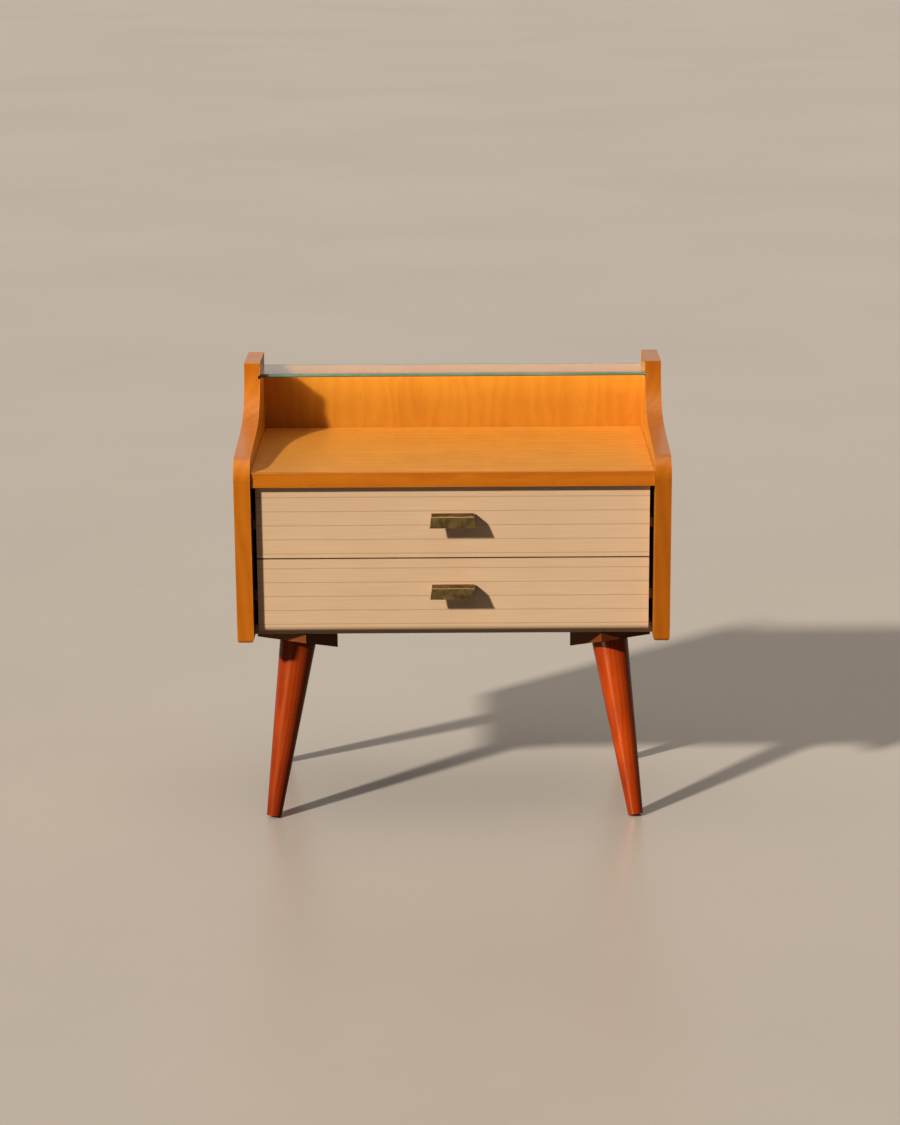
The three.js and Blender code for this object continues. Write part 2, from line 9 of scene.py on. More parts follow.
import bmesh
import bpy
from bpy.props import FloatProperty, FloatVectorProperty, PointerProperty
from bpy.types import Operator, Panel, PropertyGroup
from mathutils import Matrix, Vector


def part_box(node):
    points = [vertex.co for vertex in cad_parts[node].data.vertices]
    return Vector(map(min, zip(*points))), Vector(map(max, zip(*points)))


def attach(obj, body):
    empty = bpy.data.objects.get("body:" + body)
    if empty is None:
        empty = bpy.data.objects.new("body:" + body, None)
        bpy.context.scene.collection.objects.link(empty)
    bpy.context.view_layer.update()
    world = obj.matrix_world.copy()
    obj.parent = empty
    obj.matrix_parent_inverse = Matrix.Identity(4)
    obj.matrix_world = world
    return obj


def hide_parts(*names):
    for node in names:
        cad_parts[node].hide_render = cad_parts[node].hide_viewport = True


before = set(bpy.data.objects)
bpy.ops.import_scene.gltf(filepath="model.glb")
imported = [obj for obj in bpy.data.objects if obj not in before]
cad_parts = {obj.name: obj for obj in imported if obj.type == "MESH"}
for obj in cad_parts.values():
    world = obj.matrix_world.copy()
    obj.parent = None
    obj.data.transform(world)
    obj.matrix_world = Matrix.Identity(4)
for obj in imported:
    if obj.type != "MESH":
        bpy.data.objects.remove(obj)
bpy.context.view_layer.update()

bl_info = {
    "name": "Nightstand",
    "version": (1, 0, 0),
    "blender": (4, 5, 0),
    "location": "3D View > Sidebar > Nightstand",
    "description": "Builds a bedside table with drawers, a glass shelf and turned legs",
    "category": "Object",
}

SIDES = ("left", "right")
DRAWERS = ("upper", "lower")
CORNERS = ("front_left", "front_right", "rear_right", "rear_left")

X = Vector((1, 0, 0))
Y = Vector((0, 1, 0))
Z = Vector((0, 0, 1))

WELD = 1e-6  # points closer than this, in metres, are one point
FLAT_ANGLE = math.radians(0.4)  # facets that meet at less than this are one face
ARRIS_ANGLE = math.radians(30)  # edges sharper than this are rounded
FACING = 0.9  # a face whose normal has more than this along an axis faces that way
ON_FACE = 1e-4  # how near a point is to a panel's face to count as lying in it
LOWER_EDGE_STEPS = 6  # cuts in the height of a panel's rounded lower edge
LEG_END = 0.04  # share of a leg's height that counts as its foot or its top

FOOT_SHADE = (0.03, 0.115)  # heights between which the dark of a leg's foot fades out
TOP_SHADE = (0.19, 0.245)  # heights between which the dark of a leg's top sets in
SHADE_RAGGED = 0.05  # how far the limits of both wander
DUST_COLOUR = (0.6, 0.55, 0.48)

# Patches of noise per metre along, across and through the grain
FIGURE_FINENESS = (5.0, 17.0, 17.0)
FIBRE_FINENESS = (26.0, 620.0, 620.0)
PORE_FINENESS = (110.0, 1500.0, 1500.0)
MOTTLE_FINENESS = (42.0, 11.0, 11.0)
PORE_LIMITS = (0.66, 0.74)  # specks of noise between which a pore opens

# How much each part of the figure counts, and the sums at which wood is all light or all dark
GROWTH_WEIGHT = 0.45
FIGURE_WEIGHT = 1.1
FIBRE_WEIGHT = 0.55
TONE_LIMITS = (0.45, 1.75)

# How strongly each mask draws the wood towards its colour
SHEEN_STRENGTH = 0.22
PORE_STRENGTH = 0.35
WEAR_STRENGTH = 0.7
WOOD_SOIL = 0.16
LAMINATE_SOIL = 0.14

# Depth of the relief in metres
COARSE_RELIEF = 0.00006
FINE_RELIEF = 0.00004
GLASS_RELIEF = 0.00003

FLOOR_RADIUS = 60.0
KEY_AZIMUTH = math.radians(44)  # to the left of the front
KEY_ELEVATION = math.radians(28)
KEY_SOFTNESS = math.radians(3.5)  # angle under which the key light is seen
KEY_DISTANCE = 3.0
SENSOR_WIDTH = 36.0  # millimetres
CLIP_END = 200.0


# ---- Settings ------------------------------------------------------------------------------


def colour(name, description, default):
    return FloatVectorProperty(
        name=name,
        description=description,
        default=default,
        size=3,
        min=0.0,
        max=1.0,
        subtype="COLOR",
    )


def share(name, description, default):
    return FloatProperty(
        name=name,
        description=description,
        default=default,
        min=0.0,
        max=1.0,
        subtype="FACTOR",
    )


def length(name, description, default):
    return FloatProperty(
        name=name,
        description=description,
        default=default,
        min=0.0,
        soft_max=0.1,
        subtype="DISTANCE",
        unit="LENGTH",
        precision=5,
    )


def number(name, description, default):
    return FloatProperty(name=name, description=description, default=default, min=0.0)


class HoneyWood(PropertyGroup):
    """Amber varnished veneer of the carcass"""

    light: colour("Light", "Early wood under amber varnish", (0.86, 0.37, 0.034))
    dark: colour("Dark", "Late wood and flame figure", (0.60, 0.18, 0.010))
    pores: colour("Pores", "Short dark flecks", (0.26, 0.06, 0.004))
    worn: colour("Worn", "Wood where the varnish has rubbed through", (0.90, 0.50, 0.12))
    figure: share("Figure", "Strength of the flame figure", 0.55)
    lines: number("Growth lines", "Growth lines per metre across the grain", 55.0)
    waviness: number("Waviness", "How far the figure bends the growth lines", 3.2)
    roughness: share("Roughness", "Roughness of the varnish", 0.42)
    sheen: colour("Sheen", "Colour of the gloss of the wood itself", (1.0, 0.74, 0.30))
    gloss: share("Gloss", "Strength of the gloss of the wood itself", 0.7)
    coat: share("Varnish", "Weight of the clear varnish", 0.2)
    wear: share("Wear", "How much the edges are rubbed", 0.5)


class AmberWood(PropertyGroup):
    """Denser varnished wood of the edges of the carcass"""

    light: colour("Light", "Early wood under amber varnish", (0.70, 0.20, 0.008))
    dark: colour("Dark", "Late wood", (0.42, 0.085, 0.003))
    pores: colour("Pores", "Short dark flecks", (0.20, 0.035, 0.002))
    worn: colour("Worn", "Wood where the varnish has rubbed through", (0.86, 0.42, 0.08))
    figure: share("Figure", "Strength of the flame figure", 0.5)
    lines: number("Growth lines", "Growth lines per metre across the grain", 70.0)
    waviness: number("Waviness", "How far the figure bends the growth lines", 2.4)
    roughness: share("Roughness", "Roughness of the varnish", 0.42)
    sheen: colour("Sheen", "Colour of the gloss of the wood itself", (1.0, 0.66, 0.16))
    gloss: share("Gloss", "Strength of the gloss of the wood itself", 1.0)
    coat: share("Varnish", "Weight of the clear varnish", 0.4)
    wear: share("Wear", "How much the edges are rubbed", 0.55)


class PlainWood(PropertyGroup):
    """Bare waxed wood of the drawer boxes, runners and bottom board"""

    light: colour("Light", "Early wood", (0.66, 0.47, 0.27))
    dark: colour("Dark", "Late wood", (0.47, 0.30, 0.145))
    pores: colour("Pores", "Short dark flecks", (0.23, 0.13, 0.06))
    worn: colour("Worn", "Fresh wood at the edges", (0.74, 0.56, 0.36))
    figure: share("Figure", "Strength of the flame figure", 0.45)
    lines: number("Growth lines", "Growth lines per metre across the grain", 120.0)
    waviness: number("Waviness", "How far the figure bends the growth lines", 2.0)
    roughness: share("Roughness", "Roughness of the waxed surface", 0.62)
    sheen: colour("Sheen", "Colour of the gloss of the wood itself", (1.0, 0.95, 0.85))
    gloss: share("Gloss", "Strength of the gloss of the wood itself", 0.5)
    coat: share("Varnish", "Weight of the clear varnish", 0.0)
    wear: share("Wear", "How much the edges are rubbed", 0.35)


class RedWood(PropertyGroup):
    """Red stained and varnished wood of the legs"""

    light: colour("Light", "Stained early wood", (0.68, 0.088, 0.006))
    dark: colour("Dark", "Stained late wood", (0.25, 0.016, 0.003))
    pores: colour("Pores", "Short dark flecks", (0.07, 0.008, 0.004))
    worn: colour("Worn", "Wood where the stain has rubbed off", (0.70, 0.24, 0.06))
    figure: share("Figure", "Strength of the flame figure", 0.55)
    lines: number("Growth lines", "Growth lines per metre across the grain", 160.0)
    waviness: number("Waviness", "How far the figure bends the growth lines", 2.2)
    roughness: share("Roughness", "Roughness of the varnish", 0.3)
    sheen: colour("Sheen", "Colour of the gloss of the wood itself", (1.0, 0.45, 0.16))
    gloss: share("Gloss", "Strength of the gloss of the wood itself", 0.8)
    coat: share("Varnish", "Weight of the clear varnish", 0.4)
    ends: share("Dark ends", "How much darker the ends of a leg are", 0.6)
    wear: share("Wear", "How much the edges are rubbed", 0.55)


class DarkWood(PropertyGroup):
    """Brown stained wood of the leg blocks"""

    light: colour("Light", "Stained early wood", (0.24, 0.058, 0.010))
    dark: colour("Dark", "Stained late wood", (0.10, 0.020, 0.004))
    pores: colour("Pores", "Short dark flecks", (0.03, 0.01, 0.004))
    worn: colour("Worn", "Wood where the stain has rubbed off", (0.42, 0.18, 0.06))
    figure: share("Figure", "Strength of the flame figure", 0.5)
    lines: number("Growth lines", "Growth lines per metre across the grain", 140.0)
    waviness: number("Waviness", "How far the figure bends the growth lines", 1.8)
    roughness: share("Roughness", "Roughness of the stained surface", 0.45)
    sheen: colour("Sheen", "Colour of the gloss of the wood itself", (1.0, 0.6, 0.35))
    gloss: share("Gloss", "Strength of the gloss of the wood itself", 0.4)
    coat: share("Varnish", "Weight of the clear varnish", 0.15)
    wear: share("Wear", "How much the edges are rubbed", 0.5)


class Laminate(PropertyGroup):
    """Cream laminate of the drawer fronts"""

    ground: colour("Ground", "Colour between the stripes", (0.78, 0.525, 0.325))
    tint: colour("Tint", "Darker clouds in the ground", (0.69, 0.45, 0.265))
    stripe: colour("Stripe", "Colour of the pinstripes", (0.40, 0.17, 0.07))
    pitch: length("Pitch", "Distance from stripe to stripe", 0.0168)
    width: length("Width", "Width of a stripe", 0.0010)
    strength: share("Strength", "How far a stripe covers the ground", 0.5)
    upper_start: length("Upper start", "Top of the upper front to its first stripe", 0.0120)
    lower_start: length("Lower start", "Top of the lower front to its first stripe", 0.0110)
    roughness: share("Roughness", "Roughness of the laminate", 0.42)


class Metals(PropertyGroup):
    """Brass handles and steel screws"""

    # Also the colour of the painted highlight along the handles' bend
    brass: colour("Brass", "Brass where it is rubbed bright", (0.66, 0.43, 0.15))
    patina: colour("Patina", "Brass that has dulled", (0.25, 0.145, 0.045))
    spots: colour("Spots", "Dark spots on the brass", (0.06, 0.035, 0.016))
    steel: colour("Steel", "Screw heads", (0.50, 0.49, 0.47))
    rust: colour("Rust", "Tarnish in the slots", (0.16, 0.09, 0.05))


class Glass(PropertyGroup):
    """Float glass of the upper shelf"""

    face: colour("Face", "Tint through the thickness", (0.86, 0.96, 0.92))
    edge: colour("Edge", "Green seen in the ground edges", (0.17, 0.31, 0.23))
    # Painted shade: the dark colour drawn along the lower arris of the glass edge
    under: colour("Under", "Dark lower arris of the edge", (0.06, 0.035, 0.02))
    shadow: colour("Shadow", "Tint of the light that has passed through", (0.97, 0.985, 0.975))
    roughness: share("Edge roughness", "Roughness of the ground edges", 0.3)


class Arrises(PropertyGroup):
    """Radius of the rounded arrises"""

    carcass: length("Carcass", "Side panels", 0.0012)
    lower: length("Lower", "Long lower edges of the side panels", 0.004)
    shelf: length("Shelf", "Shelf board and its lipping", 0.0004)
    board: length("Boards", "Drawer boxes, runners and hidden boards", 0.0006)
    laminate: length("Laminate", "Edges of the drawer fronts", 0.0004)
    leg: length("Legs", "Foot of each leg", 0.0012)
    metal: length("Metal", "Handles", 0.0004)
    screw: length("Screws", "Screw heads", 0.0002)
    glass: length("Glass", "Ground chamfer of the glass", 0.0005)


class PieceDarkening(PropertyGroup):
    """How much darker single pieces are than the rest of their wood; for the right side panel it
    is painted shade
    """

    # Painted shade: the right side panel is drawn darker than the left, as light falls from the
    # left
    side: share("Side", "Right side panel", 0.3)
    back: share("Back", "Back panel", 0.45)
    legs: share("Legs", "Left legs", 0.3)


class StageSettings(PropertyGroup):
    """Floor, lights and camera"""

    floor: colour("Floor", "Plain pale floor", (0.56, 0.50, 0.44))
    bounce: share("Bounce", "Share of its light that the floor throws back", 0.12)
    key: number("Key", "Strength of the key light", 4.2)
    key_colour: colour("Key colour", "Colour of the key light", (1.0, 0.93, 0.82))
    fill: number("Fill", "Strength of the dim side of the room", 0.025)
    fill_colour: colour("Fill colour", "Colour of the room light", (1.0, 0.92, 0.84))
    wall: number("Wall", "Strength of the pale wall behind the nightstand", 0.56)
    wall_colour: colour("Wall colour", "Colour of the pale wall", (1.0, 0.90, 0.80))
    ceiling: number("Ceiling", "Strength of the light from above", 1.0)
    camera: FloatVectorProperty(
        name="Camera",
        description="Where the camera stands",
        default=(0.0144, -3.7133, 1.1082),
        size=3,
        subtype="TRANSLATION",
        unit="LENGTH",
    )
    pitch: FloatProperty(
        name="Pitch",
        description="How far the camera looks down",
        default=0.219,
        subtype="ANGLE",
        unit="ROTATION",
    )
    yaw: FloatProperty(
        name="Yaw",
        description="How far the camera looks to the right",
        default=-0.005,
        subtype="ANGLE",
        unit="ROTATION",
    )
    roll: FloatProperty(
        name="Roll",
        description="How far the camera leans",
        default=-0.007,
        subtype="ANGLE",
        unit="ROTATION",
    )
    lens: FloatProperty(
        name="Lens",
        description="Focal length in millimetres on a sensor 36 mm wide",
        default=127.5,
        min=1.0,
    )


class NightstandSettings(PropertyGroup):
    """Everything that a user may change"""

    honey: PointerProperty(name="Honey wood", description="Carcass veneer", type=HoneyWood)
    amber: PointerProperty(name="Amber wood", description="Carcass edges", type=AmberWood)
    plain: PointerProperty(name="Plain wood", description="Hidden boards", type=PlainWood)
    red: PointerProperty(name="Red wood", description="Legs", type=RedWood)
    dark: PointerProperty(name="Dark wood", description="Leg blocks", type=DarkWood)
    laminate: PointerProperty(name="Laminate", description="Drawer fronts", type=Laminate)
    metals: PointerProperty(name="Metals", description="Handles and screws", type=Metals)
    glass: PointerProperty(name="Glass", description="Glass shelf", type=Glass)
    arrises: PointerProperty(name="Arrises", description="Rounded edges", type=Arrises)
    piece_darkening: PointerProperty(name="PieceDarkening", description="Darker pieces", type=PieceDarkening)
    stage: PointerProperty(name="Stage", description="Floor, lights, camera", type=StageSettings)


def settings():
    return bpy.context.scene.nightstand


# ---- Node helpers --------------------------------------------------------------------------


def add(tree, kind, inputs=None, **values):
    """Adds a node, sets its properties, and sets or links its inputs."""
    node = tree.nodes.new(kind)
    for name, value in values.items():
        setattr(node, name, value)
    for key, value in (inputs or {}).items():
        socket = node.inputs[key]
        if isinstance(value, bpy.types.NodeSocket):
            tree.links.new(value, socket)
        else:
            socket.default_value = value
    return node


def calc(tree, operation, *terms, clamp=False):
    """One arithmetic step on numbers or sockets."""
    inputs = dict(enumerate(terms))
    node = add(tree, "ShaderNodeMath", inputs, operation=operation, use_clamp=clamp)
    return node.outputs[0]


def scaled(tree, vector, factors):
    """A vector with each part multiplied by its own factor."""
    inputs = {0: vector, 1: factors}
    return add(tree, "ShaderNodeVectorMath", inputs, operation="MULTIPLY").outputs[0]


def noise(tree, vector, scale=1.0, detail=2.0, roughness=0.5, distortion=0.0):
    inputs = {
        "Vector": vector,
        "Scale": scale,
        "Detail": detail,
        "Roughness": roughness,
        "Distortion": distortion,
    }
    return add(tree, "ShaderNodeTexNoise", inputs).outputs[0]


def even_noise(tree, place, fineness, **look):
    """Noise that is as fine in every direction, in patches per metre."""
    return noise(tree, scaled(tree, place, (fineness,) * 3), **look)


def window(tree, value, low, high):
    """0 below low, 1 above high, and smooth between them."""
    inputs = {"Value": value, "From Min": low, "From Max": high}
    node = add(tree, "ShaderNodeMapRange", inputs, interpolation_type="SMOOTHSTEP")
    return node.outputs[0]


def blended(tree, factor, first, second, blend_type="MIX"):
    """A colour between two colours."""
    node = add(tree, "ShaderNodeMix", data_type="RGBA", blend_type=blend_type)
    for index, value in ((0, factor), (6, first), (7, second)):
        if isinstance(value, bpy.types.NodeSocket):
            tree.links.new(value, node.inputs[index])
        elif index == 0:
            node.inputs[index].default_value = value
        else:
            node.inputs[index].default_value = (*value, 1.0)
    return node.outputs[2]


def tinted(tree, base, tint, mask, strength):
    """A colour that is drawn towards a tint where a mask says so."""
    return blended(tree, calc(tree, "MULTIPLY", mask, strength), base, tint)


def new_group(name, inputs, outputs):
    """An empty shader node group with named sockets, its input node and its output node."""
    tree = bpy.data.node_groups.new(name, "ShaderNodeTree")
    for label, kind, default in inputs:
        socket = tree.interface.new_socket(
            name=label, in_out="INPUT", socket_type=f"NodeSocket{kind}"
        )
        if default is not None:
            socket.default_value = default
    for label in outputs:
        tree.interface.new_socket(name=label, in_out="OUTPUT", socket_type="NodeSocketFloat")
    return tree, tree.nodes.new("NodeGroupInput"), tree.nodes.new("NodeGroupOutput")


def placed(tree, group, inputs):
    """Puts a node group in a material with its own values, and returns its outputs."""
    return add(tree, "ShaderNodeGroup", inputs, node_tree=group).outputs


def once(make):
    """Keeps what a maker function has made, so that it is made only once."""
    kept = {}

    def get(*names):
        if names not in kept:
            kept[names] = make(*names)
        return kept[names]

    return get


# ---- Shared effects ------------------------------------------------------------------------


@once
def timber_grain():
    """Figure, growth lines, fibres and pores; the grain runs along the first axis."""
    tree, come, go = new_group(
        "Timber Grain",
        [
            ("Grain", "Vector", None),
            ("Lines", "Float", 60.0),
            ("Waviness", "Float", 3.0),
        ],
        ["Figure", "Growth", "Fibre", "Pores", "Mottle", "Height"],
    )
    grain = come.outputs["Grain"]
    figure = noise(tree, scaled(tree, grain, FIGURE_FINENESS), detail=4.0, distortion=0.9)
    across = add(tree, "ShaderNodeSeparateXYZ", {0: grain}).outputs
    depth = calc(tree, "ADD", across[1], across[2])
    lines = calc(tree, "MULTIPLY", depth, come.outputs["Lines"])
    bend = calc(tree, "MULTIPLY", figure, come.outputs["Waviness"])
    phase = calc(tree, "MULTIPLY", calc(tree, "ADD", lines, bend), math.tau)
    growth = calc(tree, "MULTIPLY_ADD", calc(tree, "SINE", phase), 0.5, 0.5)
    fibre = noise(tree, scaled(tree, grain, FIBRE_FINENESS), detail=3.0, roughness=0.6)
    specks = noise(tree, scaled(tree, grain, PORE_FINENESS), detail=1.0)
    pores = window(tree, specks, *PORE_LIMITS)
    mottle = noise(tree, scaled(tree, grain, MOTTLE_FINENESS), detail=2.0, distortion=0.4)
    height = calc(tree, "SUBTRACT", fibre, pores)
    results = (figure, growth, fibre, pores, mottle, height)
    for index, result in enumerate(results):
        tree.links.new(result, go.inputs[index])
    return tree


@once
def edge_wear():
    """A mask of rubbed arrises: where a rounded normal leaves the true one, broken up by noise."""
    tree, come, go = new_group(
        "Edge Wear",
        [
            ("Place", "Vector", None),
            ("Reach", "Float", 0.0015),
            ("Amount", "Float", 0.5),
        ],
        ["Mask"],
    )
    rounded = add(tree, "ShaderNodeBevel", {"Radius": come.outputs["Reach"]}, samples=4)
    true = add(tree, "ShaderNodeNewGeometry").outputs["Normal"]
    inputs = {0: rounded.outputs[0], 1: true}
    dot = add(tree, "ShaderNodeVectorMath", inputs, operation="DOT_PRODUCT").outputs["Value"]
    arris = window(tree, calc(tree, "SUBTRACT", 1.0, dot), 0.01, 0.16)
    broad = even_noise(tree, come.outputs["Place"], 38.0, detail=3.0)
    fine = even_noise(tree, come.outputs["Place"], 420.0, detail=2.0)
    patchy = calc(tree, "MULTIPLY_ADD", fine, 0.5, calc(tree, "MULTIPLY", broad, 0.8))
    limit = calc(tree, "SUBTRACT", 1.0, come.outputs["Amount"])
    patches = window(tree, patchy, limit, calc(tree, "ADD", limit, 0.3))
    tree.links.new(calc(tree, "MULTIPLY", arris, patches), go.inputs[0])
    return tree


@once
def handling():
    """Smudges from hands and a thin film of dust on what faces up."""
    tree, come, go = new_group(
        "Handling",
        [("Place", "Vector", None), ("Dust", "Float", 0.2)],
        ["Smudge", "Dust"],
    )
    place = come.outputs["Place"]
    smudge = even_noise(tree, place, 16.0, detail=5.0, roughness=0.65)
    normal = add(tree, "ShaderNodeNewGeometry").outputs["Normal"]
    up = add(tree, "ShaderNodeSeparateXYZ", {0: normal}).outputs[2]
    film = even_noise(tree, place, 260.0, detail=3.0, roughness=0.7)
    lying = calc(tree, "MULTIPLY", window(tree, up, 0.5, 1.0), window(tree, film, 0.3, 0.8))
    tree.links.new(smudge, go.inputs[0])
    tree.links.new(calc(tree, "MULTIPLY", lying, come.outputs["Dust"]), go.inputs[1])
    return tree


# ---- Materials -----------------------------------------------------------------------------


def new_material(name, **surface):
    """A material, its tree, its Principled node and its object coordinates."""
    material = bpy.data.materials.new(name)
    material.use_nodes = True
    tree = material.node_tree
    shader = tree.nodes["Principled BSDF"]
    for socket, value in surface.items():
        shader.inputs[socket.replace("_", " ")].default_value = value
    place = add(tree, "ShaderNodeTexCoord").outputs["Object"]
    return material, tree, shader, place


def stored(tree, name, output):
    """What is stored at each point of the mesh under a name."""
    return add(tree, "ShaderNodeAttribute", attribute_name=name).outputs[output]


def bumped(tree, shader, height, distance, strength=1.0):
    inputs = {"Height": height, "Distance": distance, "Strength": strength}
    normal = add(tree, "ShaderNodeBump", inputs).outputs["Normal"]
    tree.links.new(normal, shader.inputs["Normal"])


def leg_ends(tree, place, mottle):
    """A mask of the foot and the top of a leg, with a ragged limit."""
    height = add(tree, "ShaderNodeSeparateXYZ", {0: place}).outputs[2]
    height = calc(tree, "MULTIPLY_ADD", mottle, SHADE_RAGGED, height)
    foot = calc(tree, "SUBTRACT", 1.0, window(tree, height, *FOOT_SHADE))
    top = window(tree, height, *TOP_SHADE)
    return calc(tree, "MAXIMUM", foot, top)


@once
def timber(finish):
    """One of the five woods, from its settings."""
    wood = getattr(settings(), finish)
    surface = {
        "Coat_Weight": wood.coat,
        "Coat_Roughness": 0.16,
        "IOR": 1.5,
        "Specular_IOR_Level": wood.gloss,
        "Specular_Tint": (*wood.sheen, 1.0),
    }
    material, tree, shader, place = new_material(f"{finish}_wood", **surface)
    grain = stored(tree, "grain", "Vector")
    inputs = {"Grain": grain, "Lines": wood.lines, "Waviness": wood.waviness}
    figure = placed(tree, timber_grain(), inputs)
    wear = placed(tree, edge_wear(), {"Place": place, "Amount": wood.wear})["Mask"]
    marks = placed(tree, handling(), {"Place": place, "Dust": 0.10})

    rings = calc(tree, "MULTIPLY", figure["Growth"], GROWTH_WEIGHT)
    clouds = calc(tree, "MULTIPLY_ADD", figure["Figure"], FIGURE_WEIGHT, rings)
    streaks = calc(tree, "MULTIPLY_ADD", figure["Fibre"], FIBRE_WEIGHT, clouds)
    tone = window(tree, streaks, *TONE_LIMITS)
    depth = calc(tree, "MULTIPLY_ADD", tone, wood.figure, (1.0 - wood.figure) / 2)
    base = blended(tree, depth, wood.light, wood.dark)
    sheen = window(tree, figure["Mottle"], 0.3, 0.75)
    base = tinted(tree, base, wood.light, sheen, SHEEN_STRENGTH)
    base = tinted(tree, base, wood.pores, figure["Pores"], PORE_STRENGTH)
    base = tinted(tree, base, wood.dark, window(tree, marks["Smudge"], 0.45, 0.8), WOOD_SOIL)
    base = tinted(tree, base, wood.worn, wear, WEAR_STRENGTH)
    base = blended(tree, marks["Dust"], base, DUST_COLOUR)
    if finish == "red":
        ends = calc(tree, "MULTIPLY", leg_ends(tree, place, figure["Mottle"]), wood.ends)
        base = blended(tree, ends, base, wood.dark)
    # Each piece's stored darkening; on the right side panel this is painted shade
    base = blended(tree, stored(tree, "darker", "Fac"), base, wood.pores)
    tree.links.new(base, shader.inputs["Base Color"])

    rough = calc(tree, "MULTIPLY_ADD", marks["Smudge"], 0.14, wood.roughness - 0.07)
    rough = calc(tree, "MULTIPLY_ADD", figure["Mottle"], -0.06, rough)
    rough = calc(tree, "MULTIPLY_ADD", wear, 0.2, rough, clamp=True)
    tree.links.new(rough, shader.inputs["Roughness"])
    bumped(tree, shader, figure["Height"], COARSE_RELIEF, 0.5)
    return material


@once
def cream_laminate():
    """Cream ground with fine brown pinstripes; the second grain axis counts down the front."""
    look = settings().laminate
    surface = {"IOR": 1.48, "Coat_Weight": 0.12, "Coat_Roughness": 0.25}
    material, tree, shader, place = new_material("cream_laminate", **surface)
    grain = stored(tree, "grain", "Vector")
    down = add(tree, "ShaderNodeSeparateXYZ", {0: grain}).outputs[1]
    wander = noise(tree, scaled(tree, grain, (9.0, 2.0, 2.0)), detail=3.0)
    drift = calc(tree, "MULTIPLY_ADD", wander, 0.0005, -0.00025)
    step = calc(tree, "DIVIDE", calc(tree, "ADD", down, drift), look.pitch)
    offset = calc(tree, "ABSOLUTE", calc(tree, "SUBTRACT", step, calc(tree, "ROUND", step)))
    half = look.width / look.pitch / 2
    line = calc(tree, "SUBTRACT", 1.0, window(tree, offset, half * 0.45, half * 1.6))
    ink = noise(tree, scaled(tree, grain, (70.0, 900.0, 900.0)), detail=3.0, roughness=0.6)
    cover = calc(tree, "MULTIPLY", line, calc(tree, "MULTIPLY_ADD", ink, 0.6, 0.7))
    shade = even_noise(tree, place, 7.0, detail=4.0, roughness=0.6)
    thread = noise(tree, scaled(tree, grain, (18.0, 520.0, 520.0)), detail=3.0, roughness=0.6)
    cloud = calc(tree, "MULTIPLY_ADD", thread, 0.45, calc(tree, "MULTIPLY", shade, 0.5))
    base = blended(tree, window(tree, cloud, 0.25, 0.75), look.ground, look.tint)
    strength = calc(tree, "MULTIPLY", cover, look.strength, clamp=True)
    base = blended(tree, strength, base, look.stripe)
    wear = placed(tree, edge_wear(), {"Place": place, "Reach": 0.0008, "Amount": 0.5})["Mask"]
    base = tinted(tree, base, look.stripe, wear, 0.6)
    marks = placed(tree, handling(), {"Place": place, "Dust": 0.06})
    soiled = window(tree, marks["Smudge"], 0.5, 0.85)
    base = tinted(tree, base, look.tint, soiled, LAMINATE_SOIL)
    tree.links.new(base, shader.inputs["Base Color"])
    rough = calc(tree, "MULTIPLY_ADD", marks["Smudge"], 0.16, look.roughness - 0.08)
    tree.links.new(rough, shader.inputs["Roughness"])
    height = calc(tree, "MULTIPLY_ADD", line, -1.5, thread)
    bumped(tree, shader, height, FINE_RELIEF, 0.5)
    return material


@once
def aged_brass():
    """Dull brass, bright along its edges, with dark spots and fine scratches; the bright line
    along the bend is a painted highlight.
    """
    look = settings().metals
    material, tree, shader, place = new_material("aged_brass", Metallic=1.0)
    clouds = even_noise(tree, place, 85.0, detail=5.0, roughness=0.65)
    spots = even_noise(tree, place, 420.0, detail=3.0)
    grain = stored(tree, "grain", "Vector")
    brushed = noise(tree, scaled(tree, grain, (60.0, 2600.0, 2600.0)), detail=2.0)
    wear = placed(tree, edge_wear(), {"Place": place, "Reach": 0.001, "Amount": 0.72})["Mask"]
    base = blended(tree, window(tree, clouds, 0.33, 0.62), look.brass, look.patina)
    base = blended(tree, window(tree, spots, 0.6, 0.72), base, look.spots)
    normal = add(tree, "ShaderNodeNewGeometry").outputs["Normal"]
    up = add(tree, "ShaderNodeSeparateXYZ", {0: normal}).outputs[2]
    flat = window(tree, up, 0.85, 0.97)
    # Painted highlight: the bend, between facing forward and facing up, is drawn bright and
    # smoother
    bend = calc(tree, "MULTIPLY", window(tree, up, 0.1, 0.3), window(tree, up, 0.9, 0.7))
    base = tinted(tree, base, look.spots, flat, 0.7)
    # Mask of real edge wear and of the painted highlight on the bend
    rubbed = calc(tree, "MAXIMUM", wear, calc(tree, "MULTIPLY", bend, 0.8))
    base = blended(tree, rubbed, base, look.brass)
    tree.links.new(base, shader.inputs["Base Color"])
    rough = calc(tree, "MULTIPLY_ADD", clouds, 0.35, 0.2)
    rough = calc(tree, "MULTIPLY_ADD", flat, 0.2, rough)
    rough = calc(tree, "MULTIPLY_ADD", rubbed, -0.12, rough, clamp=True)
    tree.links.new(rough, shader.inputs["Roughness"])
    height = calc(tree, "MULTIPLY_ADD", brushed, 0.4, spots)
    bumped(tree, shader, height, COARSE_RELIEF, 0.6)
    return material


@once
def screw_steel():
    """Plain steel with tarnish where hands and drivers don't reach."""
    look = settings().metals
    material, tree, shader, place = new_material("screw_steel", Metallic=1.0)
    clouds = even_noise(tree, place, 300.0, detail=4.0, roughness=0.7)
    wear = placed(tree, edge_wear(), {"Place": place, "Reach": 0.0005, "Amount": 0.8})["Mask"]
    base = blended(tree, window(tree, clouds, 0.4, 0.68), look.steel, look.rust)
    base = blended(tree, wear, base, look.steel)
    tree.links.new(base, shader.inputs["Base Color"])
    tree.links.new(calc(tree, "MULTIPLY_ADD", clouds, 0.4, 0.15), shader.inputs["Roughness"])
    bumped(tree, shader, clouds, FINE_RELIEF, 0.5)
    return material


